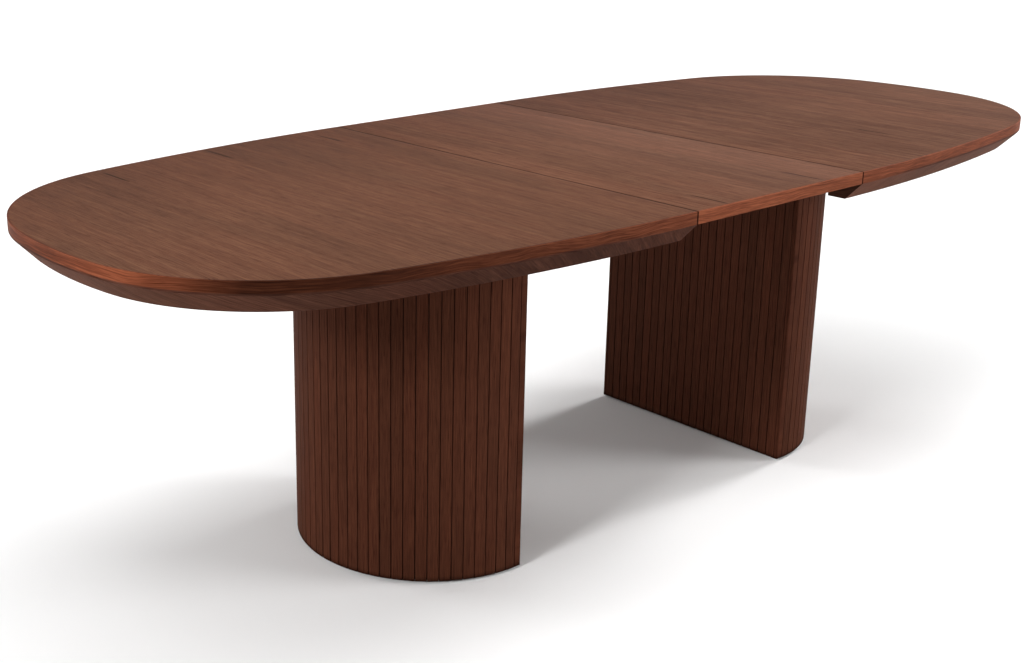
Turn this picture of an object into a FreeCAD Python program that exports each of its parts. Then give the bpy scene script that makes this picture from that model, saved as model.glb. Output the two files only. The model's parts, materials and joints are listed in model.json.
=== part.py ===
import FreeCAD, Part
import math
import os
import re
import Sketcher

# Driving sizes in millimetres, counts, and angles in degrees
SIZES = {
    # table top
    "table_height": 750,
    "table_width": 1050,
    "end_length": 1000,
    "leaf_length": 500,
    "seam_gap": 0.6,
    "side_radius": 3600,
    "corner_share": 0.38,
    "end_radius": 900,
    "panel_thickness": 24,
    "lipping_thickness": 4,
    "rim_depth": 37,
    "bevel_inset": 36,
    "rim_flat": 40,
    # pedestals
    "pedestal_spacing": 820,
    "pedestal_width": 540,
    "slat_thickness": 9,
    "slat_gap": 1.4,
    "slat_edge": 0.5,
    "corner_round": 5,
    "curved_slat_count": 36,
    "flat_slat_count": 23,
    "glue_gap": 0.05,
    "wall_thickness": 12,
    "board_thickness": 9,
    "top_plate_thickness": 25,
    "base_plate_thickness": 22,
    "shelf_thickness": 18,
    "shelf_level": 330,
    "plate_clearance": 0.1,
    "glide_height": 6,
    "glide_radius": 15,
    "glide_inset": 30,
    "glide_angle": 30,
    # guide rails and runners
    "rail_length": 1280,
    "rail_inset": 80,
    "rail_width": 44,
    "rail_height": 40,
    "rail_wall": 5,
    "rail_slot": 14,
    "slide_clearance": 0.5,
    "floor_clearance": 0.2,
    "runner_length": 560,
    "runner_setback": 20,
    "flange_width": 40,
    "flange_thickness": 4,
    "over_travel": 80,
    "tie_offset": 300,
    "tie_width": 40,
    "tie_thickness": 4,
    "bridge_length": 100,
    # rack and pinion that keeps the two ends in step
    "gear_module": 2,
    "pinion_teeth": 20,
    "pressure_angle": 20,
    "gear_thickness": 10,
    "backlash": 0.35,
    "mesh_clearance": 0.1,
    "dedendum_share": 1.25,
    "rack_depth": 14,
    "rack_tooth_count": 59,
    "rack_teeth_inward": 14,
    "bracket_offset": 150,
    "bracket_length": 60,
    "bracket_width": 30,
    "bracket_depth": 16,
    "guide_length": 40,
    "guide_thickness": 12,
    "guide_clearance": 0.4,
    "lug_length": 10,
    "axle_radius": 5,
    "axle_shoulder_radius": 8,
    "axle_thread_radius": 4,
    "bore_clearance": 0.05,
    "clip_thickness": 1.2,
    "clip_mouth_share": 0.8,
    "nut_width": 13,
    "nut_height": 6,
    # leaf
    "batten_length": 440,
    "batten_width": 40,
    "batten_depth": 26,
    "batten_clearance": 1,
    "rest_pad_length": 40,
    "rest_pad_offset": 180,
    # turn buttons under the ends, which hold the leaf flush
    "button_offset": 150,
    "button_setback": 45,
    "button_reach": 95,
    "button_width": 26,
    "button_thickness": 6,
    "button_clearance": 0.4,
    "pivot_radius": 4,
    "pivot_head_radius": 9,
    "pivot_head_height": 3,
    # fasteners
    "bolt_radius": 4,
    "bolt_head_radius": 6.5,
    "bolt_head_height": 5,
    "bolt_inset": 30,
    "bolt_pitch": 90,
    "screw_radius": 2.2,
    "screw_head_radius": 4.4,
    "screw_head_height": 2.5,
    "screw_bite": 14,
    "screw_inset": 40,
    "hole_clearance": 0.1,
}

SAME_POINT = 1e-6
NODES = []
FRONT_BACK = FreeCAD.Vector(0, 1, 0)
LEFT_RIGHT = FreeCAD.Vector(1, 0, 0)

doc = FreeCAD.newDocument("oval_extending_table")
sheet = doc.addObject("Spreadsheet::Sheet", "Sizes")
rows_used = []
for size_name, size_value in SIZES.items():
    rows_used.append(size_name)
    row = len(rows_used)
    sheet.set(f"A{row}", size_name)
    sheet.set(f"B{row}", str(size_value))
    sheet.setAlias(f"B{row}", size_name)
doc.recompute()


# Expressions, and objects bound to them

def link(text):
    """The expression text with each size's name pointing at its cell."""
    return re.sub(r"[a-z_]+", lambda word: f"Sizes.{word[0]}" if word[0] in SIZES else word[0], text)


def num(text):
    """The present value of an expression."""
    return float(sheet.evalExpression(link(text)))


def bind(item, **links):
    for name, text in links.items():
        item.setExpression(name, link(text))


def place(item, x, y, z):
    for axis, text in zip("xyz", (x, y, z)):
        item.setExpression(f"Placement.Base.{axis}", link(text))


def keep(item):
    """Mark an object as a node that is written out under its label."""
    NODES.append(item)
    return item


def box(label, x, y, z, length, width, height):
    item = doc.addObject("Part::Box", label)
    bind(item, Length=length, Width=width, Height=height)
    place(item, x, y, z)
    return item


def cylinder(label, x, y, z, radius, height):
    item = doc.addObject("Part::Cylinder", label)
    bind(item, Radius=radius, Height=height)
    place(item, x, y, z)
    return item


def cone(label, x, y, z, low_radius, high_radius, height):
    item = doc.addObject("Part::Cone", label)
    bind(item, Radius1=low_radius, Radius2=high_radius, Height=height)
    place(item, x, y, z)
    return item


def group(label, items):
    item = doc.addObject("Part::Compound", label)
    item.Links = items
    return item


def fuse(label, items):
    item = doc.addObject("Part::MultiFuse", label)
    item.Shapes = items
    item.Refine = True
    return item


def cut(label, base, tools):
    item = doc.addObject("Part::Cut", label)
    item.Base = base
    item.Tool = fuse(f"{label}_holes", tools) if len(tools) > 1 else tools[0]
    return item


def mirror(label, source, normal):
    item = doc.addObject("Part::Mirroring", label)
    item.Source = source
    item.Normal = normal
    return item


def twin(item, old, new, normal):
    """Keep a node and its mirrored twin, named by changing one word."""
    return keep(item), keep(mirror(item.Label.replace(old, new), item, normal))


# Sketches and the features made from them

def origin_feature(body, role):
    return next(item for item in body.Origin.OriginFeatures if item.Role == role)


def new_body(label, x="0", z="0"):
    body = doc.addObject("PartDesign::Body", label)
    place(body, x, "0", z)
    return body


def new_sketch(body, plane, offset):
    sketch = body.newObject("Sketcher::SketchObject", f"{body.Label}_sketch")
    sketch.AttachmentSupport = [(origin_feature(body, plane), "")]
    sketch.MapMode = "FlatFace"
    sketch.setExpression("AttachmentOffset.Base.z", link(offset))
    return sketch


def measure(sketch, kind, *where, size):
    """Add a constraint whose value follows a size expression."""
    index = sketch.addConstraint(Sketcher.Constraint(kind, *where, num(size)))
    sketch.setExpression(f"Constraints[{index}]", link(size))


def tie(sketch, kind, *where):
    sketch.addConstraint(Sketcher.Constraint(kind, *where))


def arc(x, y, radius, start, end):
    circle = Part.Circle(FreeCAD.Vector(x, y, 0), FreeCAD.Vector(0, 0, 1), radius)
    return Part.ArcOfCircle(circle, start, end)


def polygon(sketch, corners):
    points = [FreeCAD.Vector(num(x), num(y), 0) for x, y in corners]
    count = len(corners)
    for index in range(count):
        sketch.addGeometry(Part.LineSegment(points[index], points[(index + 1) % count]))
    for index in range(count):
        tie(sketch, "Coincident", index, 2, (index + 1) % count, 1)
    for index, (x, y) in enumerate(corners):
        measure(sketch, "DistanceX", -1, 1, index, 1, size=x)
        measure(sketch, "DistanceY", -1, 1, index, 1, size=y)


def pad(body, sketch, length):
    feature = body.newObject("PartDesign::Pad", f"{body.Label}_pad")
    feature.Profile = sketch
    bind(feature, Length=length)
    return feature


def pocket_up(body, sketch, depth):
    feature = body.newObject("PartDesign::Pocket", f"{body.Label}_pocket")
    feature.Profile = sketch
    feature.Reversed = True
    bind(feature, Length=depth)
    return feature


# Levels and places that several pieces share

CORNER_RADIUS = "(table_width * corner_share)"
SEAM = "(leaf_length / 2 + seam_gap / 2)"
LEAF_END = "(leaf_length / 2 - seam_gap / 2)"
PANEL_UNDER = "(table_height - panel_thickness)"
RIM_UNDER = f"({PANEL_UNDER} - rim_depth)"
RAIL_TOP = f"({PANEL_UNDER} - flange_thickness - slide_clearance)"
RAIL_UNDER = f"({RAIL_TOP} - rail_height)"
PLATE_UNDER = f"({RAIL_UNDER} - top_plate_thickness)"
TIE_UNDER = f"({RAIL_UNDER} - tie_thickness)"
GEAR_TOP = f"({PANEL_UNDER} - bracket_depth)"
GEAR_UNDER = f"({GEAR_TOP} - gear_thickness)"
RAIL_Y = "(pedestal_width / 2 - rail_inset)"
WALL_RADIUS = "(pedestal_width / 2 - slat_thickness)"
SHELL_X = "(pedestal_spacing / 2 + slat_thickness + board_thickness)"
PEDESTAL_HEIGHT = f"({RAIL_UNDER} - glide_height)"
PITCH_RADIUS = "(gear_module * pinion_teeth / 2)"
RACK_PITCH = f"({PITCH_RADIUS} + mesh_clearance)"
RACK_BACK = f"({RACK_PITCH} + rack_depth)"
RACK_ROOT = f"({RACK_PITCH} + dedendum_share * gear_module)"
HOLE_RADIUS = "(screw_radius + hole_clearance)"


# Table top

def oval_sketch(body, level, inset):
    """One end of the oval, right of the seam, drawn in by the inset."""
    sketch = new_sketch(body, "XY_Plane", level)
    seam_x = num(SEAM)
    half_width = num(f"table_width / 2 - {inset}")
    radii = ("side_radius", CORNER_RADIUS, "end_radius")
    side, corner, end = (num(f"{radius} - {inset}") for radius in radii)
    side_y = half_width - side
    end_x = seam_x + num("end_length - end_radius")
    # the corner arc's centre lies at known distances from the other two centres
    gap_x = end_x - seam_x
    gap = math.hypot(gap_x, side_y)
    along = ((side - corner) ** 2 - (end - corner) ** 2 + gap ** 2) / (2 * gap)
    across = math.sqrt((side - corner) ** 2 - along ** 2)
    corner_x = seam_x + (along * gap_x - across * side_y) / gap
    corner_y = side_y + (along * -side_y - across * gap_x) / gap
    side_turn = math.atan2(corner_y - side_y, corner_x - seam_x)
    end_turn = math.atan2(corner_y, corner_x - end_x)
    low, high = FreeCAD.Vector(seam_x, -half_width, 0), FreeCAD.Vector(seam_x, half_width, 0)
    sketch.addGeometry(Part.LineSegment(low, high))
    sketch.addGeometry(arc(seam_x, side_y, side, side_turn, math.pi / 2))
    sketch.addGeometry(arc(corner_x, corner_y, corner, end_turn, side_turn))
    sketch.addGeometry(arc(end_x, 0, end, -end_turn, end_turn))
    sketch.addGeometry(arc(corner_x, -corner_y, corner, -side_turn, -end_turn))
    sketch.addGeometry(arc(seam_x, -side_y, side, -math.pi / 2, -side_turn))
    seam, side_back, corner_back, tip, corner_front, side_front = range(6)
    tie(sketch, "Coincident", seam, 2, side_back, 2)
    tie(sketch, "Tangent", side_back, 1, corner_back, 2)
    tie(sketch, "Tangent", corner_back, 1, tip, 2)
    tie(sketch, "Tangent", tip, 1, corner_front, 2)
    tie(sketch, "Tangent", corner_front, 1, side_front, 2)
    tie(sketch, "Coincident", side_front, 1, seam, 1)
    tie(sketch, "Vertical", seam)
    tie(sketch, "PointOnObject", tip, 3, -1)
    measure(sketch, "DistanceX", -1, 1, seam, 2, size=SEAM)
    measure(sketch, "DistanceY", -1, 1, seam, 2, size=f"table_width / 2 - {inset}")
    measure(sketch, "DistanceY", seam, 1, -1, 1, size=f"table_width / 2 - {inset}")
    measure(sketch, "DistanceX", -1, 1, tip, 3, size=f"{SEAM} + end_length - end_radius")
    for index in (side_back, side_front):
        measure(sketch, "DistanceX", -1, 1, index, 3, size=SEAM)
        measure(sketch, "Radius", index, size=f"side_radius - {inset}")
    for index in (corner_back, corner_front):
        measure(sketch, "Radius", index, size=f"{CORNER_RADIUS} - {inset}")
    measure(sketch, "Radius", tip, size=f"end_radius - {inset}")
    return sketch


def end_panel_blank():
    body = new_body("right_panel_blank")
    pad(body, oval_sketch(body, PANEL_UNDER, "lipping_thickness"), "panel_thickness")
    return body


def end_lipping():
    body = new_body("right_lipping")
    pad(body, oval_sketch(body, PANEL_UNDER, "0"), "panel_thickness")
    pocket_up(body, oval_sketch(body, PANEL_UNDER, "lipping_thickness"), "panel_thickness")
    return body


def bevel_rim():
    body = new_body("right_bevel_rim")
    loft = body.newObject("PartDesign::AdditiveLoft", "right_bevel_rim_loft")
    loft.Profile = oval_sketch(body, RIM_UNDER, "bevel_inset")
    loft.Sections = [oval_sketch(body, PANEL_UNDER, "0")]
    loft.Ruled = True
    pocket_up(body, oval_sketch(body, RIM_UNDER, "(bevel_inset + rim_flat)"), "rim_depth")
    return body


def screw(label, x, y, level, length):
    """A pan head screw driven upward, its head under the given level."""
    head_level = f"{level} - screw_head_height"
    head = cylinder(f"{label}_head", x, y, head_level, "screw_head_radius", "screw_head_height")
    shank = cylinder(f"{label}_shank", x, y, level, "screw_radius", length)
    return fuse(label, [head, shank])


def hole(label, x, y, level, depth, radius="screw_radius"):
    return cylinder(label, x, y, level, f"{radius} + hole_clearance", depth)


def make_ends():
    runner_x = f"({SEAM} + runner_setback)"
    places = [f"{runner_x} + screw_inset", f"{runner_x} + runner_length / 2",
              f"{runner_x} + runner_length - screw_inset"]
    flange_y = f"({RAIL_Y} + rail_slot / 4 + flange_width / 4)"
    rows = {"front": f"0 - {flange_y}", "rear": flange_y}
    flange_under = f"({PANEL_UNDER} - flange_thickness)"
    screws, panel_holes, runner_holes = [], [], {"front": [], "rear": []}
    for row, y in rows.items():
        for number, x in enumerate(places):
            name = f"right_{row}_runner_screw_{number}"
            head = cone(f"{name}_head", x, y, flange_under, "screw_head_radius", "screw_radius",
                        "screw_head_height")
            shank = cylinder(f"{name}_shank", x, y, flange_under, "screw_radius", "screw_bite")
            screws.append(fuse(name, [head, shank]))
            sink = cone(f"{name}_sink", x, y, flange_under, "screw_head_radius + hole_clearance",
                        HOLE_RADIUS, "screw_head_height")
            bore = hole(f"{name}_bore", x, y, flange_under, "screw_bite + hole_clearance")
            runner_holes[row].append(fuse(f"{name}_seat", [sink, bore]))
            panel_holes.append(bore)
    twin(group("right_runner_screws", screws), "right", "left", LEFT_RIGHT)
    pivots = make_buttons(panel_holes)
    twin(group("right_button_pivots", pivots), "right", "left", LEFT_RIGHT)
    make_racks(panel_holes)
    for row in rows:
        blank = runner_blank(row)
        twin(cut(f"right_{row}_runner", blank, runner_holes[row]), "right", "left", LEFT_RIGHT)
    twin(cut("right_panel", end_panel_blank(), panel_holes), "right", "left", LEFT_RIGHT)
    twin(end_lipping(), "right", "left", LEFT_RIGHT)
    twin(bevel_rim(), "right", "left", LEFT_RIGHT)


def runner_blank(row):
    """The runner: a block inside the rail, a stem through its slot and a flange under the panel."""
    middle = RAIL_Y if row == "rear" else f"(0 - {RAIL_Y})"
    block = "(rail_width / 2 - rail_wall - slide_clearance)"
    stem = "(rail_slot / 2 - slide_clearance)"
    flange = "(flange_width / 2)"
    low = f"{RAIL_UNDER} + rail_wall + floor_clearance"
    shoulder = f"{RAIL_TOP} - rail_wall - slide_clearance"
    flange_under = f"{PANEL_UNDER} - flange_thickness"
    right_side = [(block, low), (block, shoulder), (stem, shoulder), (stem, flange_under),
                  (flange, flange_under), (flange, PANEL_UNDER)]
    corners = [(f"{middle} + {y}", z) for y, z in right_side]
    corners += [(f"{middle} - {y}", z) for y, z in reversed(right_side)]
    body = new_body(f"right_{row}_runner_blank")
    sketch = new_sketch(body, "YZ_Plane", f"{SEAM} + runner_setback")
    polygon(sketch, corners)
    pad(body, sketch, "runner_length")
    return body


# Turn buttons

def make_buttons(panel_holes):
    """The two buttons of each end, pointing under the leaf; returns the right end's pivots."""
    pivot_x = f"({SEAM} + button_setback)"
    top = f"({PANEL_UNDER} - button_clearance)"
    under = f"({top} - button_thickness)"
    head_top = f"({under} - button_clearance)"
    radius = "(button_width / 2)"
    straight = f"(button_reach - {radius})"
    pivots = []
    for row, y in (("front", f"(0 - {RAIL_Y} - button_offset)"), ("rear", f"({RAIL_Y} + button_offset)")):
        name = f"right_{row}_button"
        bar = box(f"{name}_bar", f"{pivot_x} - {straight}", f"{y} - {radius}", under, straight,
                  "button_width", "button_thickness")
        eye = cylinder(f"{name}_eye", pivot_x, y, under, radius, "button_thickness")
        nose = cylinder(f"{name}_nose", f"{pivot_x} - {straight}", y, under, radius, "button_thickness")
        bore = cylinder(f"{name}_bore", pivot_x, y, under, "pivot_radius + bore_clearance",
                        "button_thickness")
        twin(cut(name, fuse(f"{name}_blank", [bar, eye, nose]), [bore]), "right", "left", LEFT_RIGHT)
        head = cylinder(f"{name}_pivot_head", pivot_x, y, f"{head_top} - pivot_head_height",
                        "pivot_head_radius", "pivot_head_height")
        shoulder = cylinder(f"{name}_pivot_shoulder", pivot_x, y, head_top, "pivot_radius",
                            f"{PANEL_UNDER} - {head_top}")
        thread = cylinder(f"{name}_pivot_thread", pivot_x, y, PANEL_UNDER, "screw_radius", "screw_bite")
        pivots.append(fuse(f"{name}_pivot", [head, shoulder, thread]))
        panel_holes.append(hole(f"{name}_pivot_hole", pivot_x, y, PANEL_UNDER,
                                "screw_bite + hole_clearance"))
    return pivots


# Rack and pinion

def rack_bar():
    """The right rack: teeth facing the pinion, and a stop lug on its free end."""
    pitch = math.pi * num("gear_module")
    slope = math.tan(math.radians(num("pressure_angle")))
    line, root, back = num(RACK_PITCH), num(RACK_ROOT), num(RACK_BACK)
    tip = line - num("gear_module")
    half = (pitch / 2 - num("backlash")) / 2
    start = -num("guide_length / 2 + over_travel + slide_clearance + lug_length")
    stop = num(f"{SEAM} + bracket_offset + bracket_length")
    lug_end = start + num("lug_length")
    lug_back = back + num("guide_thickness")
    points = [(start, root)]
    first = -round(num("rack_teeth_inward"))
    for tooth in range(first, first + round(num("rack_tooth_count"))):
        middle = tooth * pitch
        wide, narrow = half + (root - line) * slope, half - (line - tip) * slope
        points += [(middle - wide, root), (middle - narrow, tip)]
        points += [(middle + narrow, tip), (middle + wide, root)]
    points += [(stop, root), (stop, back), (lug_end, back)]
    points += [(lug_end, lug_back), (start, lug_back), (start, root)]
    level = num(GEAR_UNDER)
    wire = Part.makePolygon([FreeCAD.Vector(x, y, level) for x, y in points])
    return Part.Face(wire).extrude(FreeCAD.Vector(0, 0, num("gear_thickness")))


def pinion_solid():
    """Involute teeth with a gap centred on each rack, and a plain bore."""
    module, teeth = num("gear_module"), round(num("pinion_teeth"))
    pressure = math.radians(num("pressure_angle"))
    pitch_radius = num(PITCH_RADIUS)
    base = pitch_radius * math.cos(pressure)
    tip = pitch_radius + module
    root = pitch_radius - num("dedendum_share") * module
    step = 2 * math.pi / teeth
    half = (math.pi * module / 2 - num("backlash")) / (2 * pitch_radius)
    flank_points = 6

    def involute(radius):
        angle = math.acos(base / radius)
        return math.tan(angle) - angle

    def point(radius, angle):
        return FreeCAD.Vector(radius * math.cos(angle), radius * math.sin(angle), num(GEAR_UNDER))

    def flank(middle, side):
        radii = [base + (tip - base) * index / (flank_points - 1) for index in range(flank_points)]
        return [point(r, middle + side * (half + involute(pitch_radius) - involute(r))) for r in radii]

    edges = []
    for tooth in range(teeth):
        middle = math.pi / 2 + (tooth + 0.5) * step
        rise, fall = flank(middle, -1), flank(middle, 1)
        foot_rise = point(root, middle - half - involute(pitch_radius))
        foot_fall = point(root, middle + half + involute(pitch_radius))
        next_foot = point(root, middle + step - half - involute(pitch_radius))
        for points in (rise, fall):
            curve = Part.BSplineCurve()
            curve.interpolate(points)
            edges.append(curve.toShape())
        edges.append(Part.LineSegment(foot_rise, rise[0]).toShape())
        edges.append(Part.LineSegment(fall[0], foot_fall).toShape())
        edges.append(Part.Arc(rise[-1], point(tip, middle), fall[-1]).toShape())
        edges.append(Part.Arc(foot_fall, point(root, middle + step / 2), next_foot).toShape())
    wire = Part.Wire(Part.__sortEdges__(edges))
    blank = Part.Face(wire).extrude(FreeCAD.Vector(0, 0, num("gear_thickness")))
    bore = Part.makeCylinder(num("axle_radius + bore_clearance"), num("gear_thickness"), point(0, 0))
    return blank.cut(bore)


def make_racks(panel_holes):
    """Both racks, the brackets that hang them under the end panels, and their screws."""
    bracket_x = f"({SEAM} + bracket_offset)"
    screw_y = f"({RACK_ROOT} + {RACK_BACK}) / 2"
    length = "gear_thickness + bracket_depth + screw_bite"
    screws, bores = [], []
    for number, share in enumerate(("bracket_length / 4", "bracket_length * 3 / 4")):
        x = f"{bracket_x} + {share}"
        screws.append(screw(f"right_rack_screw_{number}", x, screw_y, GEAR_UNDER, length))
        bores.append(hole(f"right_rack_bore_{number}", x, screw_y, GEAR_UNDER, f"{length} + hole_clearance"))
        # the left end is the right end's mirror image, so its rack screws need bores on this side's mirror
        panel_holes.append(bores[-1])
        panel_holes.append(hole(f"right_rack_far_bore_{number}", x, f"0 - {screw_y}", GEAR_UNDER,
                                f"{length} + hole_clearance"))
    blank = doc.addObject("Part::Feature", "rack_blank")
    blank.Shape = rack_bar()
    bracket = box("right_bracket_blank", bracket_x, RACK_ROOT, GEAR_TOP, "bracket_length", "bracket_width",
                  "bracket_depth")
    pieces = [cut("right_rack", blank, bores), cut("right_rack_bracket", bracket, bores),
              group("right_rack_screws", screws)]
    for item in pieces:
        keep(item)
        across = mirror(f"{item.Label}_mirrored", item, LEFT_RIGHT)
        keep(mirror(item.Label.replace("right", "left"), across, FRONT_BACK))


def make_pinion():
    pinion = keep(doc.addObject("Part::Feature", "sync_pinion"))
    pinion.Shape = pinion_solid()
    journal_top = f"({GEAR_TOP} + floor_clearance + clip_thickness * 2)"
    groove_radius = "(axle_radius - clip_thickness / 2)"
    clip_level = f"({GEAR_TOP} + floor_clearance)"
    thread_under = f"({TIE_UNDER} - nut_height - clip_thickness)"
    shoulder = cylinder("axle_shoulder", "0", "0", RAIL_UNDER, "axle_shoulder_radius",
                        f"{GEAR_UNDER} - floor_clearance - {RAIL_UNDER}")
    journal = cylinder("axle_journal", "0", "0", RAIL_UNDER, "axle_radius", f"{journal_top} - {RAIL_UNDER}")
    thread = cylinder("axle_thread", "0", "0", thread_under, "axle_thread_radius",
                      f"{RAIL_UNDER} - {thread_under}")
    groove_outer = cylinder("axle_groove_outer", "0", "0", clip_level, "axle_radius * 2", "clip_thickness")
    groove_core = cylinder("axle_groove_core", "0", "0", clip_level, groove_radius, "clip_thickness")
    groove = doc.addObject("Part::Cut", "axle_groove")
    groove.Base = groove_outer
    groove.Tool = groove_core
    keep(cut("pinion_axle", fuse("axle_blank", [shoulder, journal, thread]), [groove]))
    clip_disc = cylinder("axle_clip_disc", "0", "0", clip_level, "axle_shoulder_radius", "clip_thickness")
    mouth_half = f"({groove_radius} * clip_mouth_share)"
    clip_mouth = box("axle_clip_mouth", "0", f"0 - {mouth_half}", clip_level, "axle_shoulder_radius * 2",
                     f"{mouth_half} * 2", "clip_thickness")
    clip_core = cylinder("axle_clip_core", "0", "0", clip_level, f"{groove_radius} + bore_clearance",
                         "clip_thickness")
    keep(cut("axle_clip", clip_disc, [clip_mouth, clip_core]))
    nut = doc.addObject("Part::Prism", "axle_nut_blank")
    nut.Polygon = 6
    bind(nut, Circumradius="nut_width / sqrt(3)", Height="nut_height")
    place(nut, "0", "0", f"{TIE_UNDER} - nut_height")
    nut_bore = cylinder("axle_nut_bore", "0", "0", f"{TIE_UNDER} - nut_height",
                        "axle_thread_radius + bore_clearance", "nut_height")
    keep(cut("axle_nut", nut, [nut_bore]))


def make_rack_guides():
    """Blocks on the bridge that carry each rack and keep it in mesh."""
    back_y = f"({RACK_BACK} + guide_clearance)"
    ledge_y = f"({PITCH_RADIUS} + gear_module + mesh_clearance)"
    ledge_height = f"{GEAR_UNDER} - floor_clearance - {RAIL_UNDER}"
    ledge = box("rear_guide_ledge", "0 - guide_length / 2", ledge_y, RAIL_UNDER, "guide_length",
                f"{back_y} + guide_thickness - {ledge_y}", ledge_height)
    back = box("rear_guide_back", "0 - guide_length / 2", back_y, RAIL_UNDER, "guide_length",
               "guide_thickness", f"{GEAR_TOP} - {RAIL_UNDER}")
    rear = fuse("rear_rack_guide", [ledge, back])
    keep(group("rack_guides", [rear, mirror("front_rack_guide", rear, FRONT_BACK)]))


# Guide rails and what ties them

def rail_blank():
    outer, inner = "(rail_width / 2)", "(rail_width / 2 - rail_wall)"
    slot = "(rail_slot / 2)"
    floor, ceiling = f"{RAIL_UNDER} + rail_wall", f"{RAIL_TOP} - rail_wall"
    right_side = [(outer, RAIL_UNDER), (outer, RAIL_TOP), (slot, RAIL_TOP), (slot, ceiling), (inner, ceiling),
                  (inner, floor)]
    corners = [(f"{RAIL_Y} + {y}", z) for y, z in right_side]
    corners += [(f"{RAIL_Y} - {y}", z) for y, z in reversed(right_side)]
    body = new_body("rear_guide_rail_blank")
    sketch = new_sketch(body, "YZ_Plane", "0 - rail_length / 2")
    polygon(sketch, corners)
    pad(body, sketch, "rail_length")
    return body


def make_rails():
    rail_holes, screws, bolts = [], [], []
    shank = "tie_thickness + rail_wall - floor_clearance"
    tie_holes = {"left": [], "middle": [], "right": []}
    tie_places = {"left": ["0 - tie_offset"], "right": ["tie_offset"],
                  "middle": ["bridge_length / 4", "0 - bridge_length / 4"]}
    for side, places in tie_places.items():
        for number, x in enumerate(places):
            for row, y in (("front", f"0 - {RAIL_Y}"), ("rear", RAIL_Y)):
                name = f"{side}_{row}_tie_screw_{number}"
                screws.append(screw(name, x, y, TIE_UNDER, shank))
                bore = hole(f"{name}_bore", x, y, TIE_UNDER, f"{shank} + hole_clearance")
                tie_holes[side].append(bore)
                if row == "rear":
                    rail_holes.append(bore)
    keep(group("tie_screws", screws))
    bolt_length = "top_plate_thickness + rail_wall - floor_clearance"
    plate_holes = []
    for side, sign in (("left", "0 - "), ("right", "")):
        for row, y in (("front", f"0 - {RAIL_Y}"), ("rear", RAIL_Y)):
            for number, offset in enumerate(("bolt_inset", "bolt_inset + bolt_pitch")):
                x = f"{sign}({SHELL_X} + {offset})"
                name = f"{side}_{row}_rail_bolt_{number}"
                head = cylinder(f"{name}_head", x, y, f"{PLATE_UNDER} - bolt_head_height",
                                "bolt_head_radius", "bolt_head_height")
                stem = cylinder(f"{name}_stem", x, y, PLATE_UNDER, "bolt_radius", bolt_length)
                bolts.append(fuse(name, [head, stem]))
                bore = hole(f"{name}_bore", x, y, PLATE_UNDER, f"{bolt_length} + hole_clearance",
                            "bolt_radius")
                if row == "rear":
                    rail_holes.append(bore)
                if side == "right":
                    plate_holes.append(bore)
    keep(group("rail_bolts", bolts))
    twin(cut("rear_guide_rail", rail_blank(), rail_holes), "rear", "front", FRONT_BACK)
    span = f"(2 * {RAIL_Y} + rail_width)"
    edge_y = f"0 - {span} / 2"
    for side in ("left", "right"):
        sign = "0 - " if side == "left" else ""
        blank = box(f"{side}_tie_blank", f"{sign}tie_offset - tie_width / 2", edge_y, TIE_UNDER, "tie_width",
                    span, "tie_thickness")
        keep(cut(f"{side}_rail_tie", blank, tie_holes[side]))
    bridge = box("bridge_blank", "0 - bridge_length / 2", edge_y, TIE_UNDER, "bridge_length", span,
                 "tie_thickness")
    axle_hole = cylinder("bridge_axle_hole", "0", "0", TIE_UNDER, "axle_thread_radius + hole_clearance",
                         "tie_thickness")
    keep(cut("pinion_bridge", bridge, tie_holes["middle"] + [axle_hole]))
    return plate_holes


# Pedestals

def half_disc(body, level, radius):
    """A half disc outward of the body's own origin."""
    sketch = new_sketch(body, "XY_Plane", level)
    reach = num(radius)
    sketch.addGeometry(arc(0, 0, reach, -math.pi / 2, math.pi / 2))
    sketch.addGeometry(Part.LineSegment(FreeCAD.Vector(0, reach, 0), FreeCAD.Vector(0, -reach, 0)))
    tie(sketch, "Coincident", 0, 3, -1, 1)
    tie(sketch, "Coincident", 0, 2, 1, 1)
    tie(sketch, "Coincident", 1, 2, 0, 1)
    tie(sketch, "PointOnObject", 0, 1, -2)
    tie(sketch, "PointOnObject", 0, 2, -2)
    measure(sketch, "Radius", 0, size=radius)
    return sketch


def pedestal_plate(label, level, thickness):
    body = new_body(label, SHELL_X)
    radius = f"({WALL_RADIUS} - wall_thickness - plate_clearance)"
    pad(body, half_disc(body, level, radius), thickness)
    return body


def curved_wall():
    body = new_body("right_curved_wall", SHELL_X)
    pad(body, half_disc(body, "glide_height", WALL_RADIUS), PEDESTAL_HEIGHT)
    pocket_up(body, half_disc(body, "glide_height", f"({WALL_RADIUS} - wall_thickness)"), PEDESTAL_HEIGHT)
    return body


def slat_profile(body, back, width):
    """A flat slat seen from above, facing +X, with its two outer edges eased."""
    sketch = new_sketch(body, "XY_Plane", "glide_height")
    half, eased = f"({width} / 2)", f"({width} / 2 - slat_edge)"
    face = f"({back} + slat_thickness - glue_gap)"
    side = f"({face} - slat_edge)"
    polygon(sketch, [(back, f"0 - {half}"), (side, f"0 - {half}"), (face, f"0 - {eased}"), (face, eased),
                     (side, half), (back, half)])
    return sketch


def curved_slats():
    body = new_body("right_curved_slats", SHELL_X)
    half_turn = "(90 / curved_slat_count)"
    width = f"(pedestal_width * tan({half_turn}) - slat_gap)"
    slat = pad(body, slat_profile(body, f"({WALL_RADIUS} + glue_gap)", width), PEDESTAL_HEIGHT)
    pattern = body.newObject("PartDesign::PolarPattern", "right_curved_slat_pattern")
    pattern.Originals = [slat]
    pattern.Axis = (origin_feature(body, "Z_Axis"), [""])
    bind(pattern, Angle=f"180 - 2 * {half_turn}", Occurrences="curved_slat_count")
    body.Tip = pattern
    body.Placement.Rotation = FreeCAD.Rotation(FreeCAD.Vector(0, 0, -1), 1)
    body.setExpression("Placement.Rotation.Angle", link(f"90 - {half_turn}"))
    return body


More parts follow.
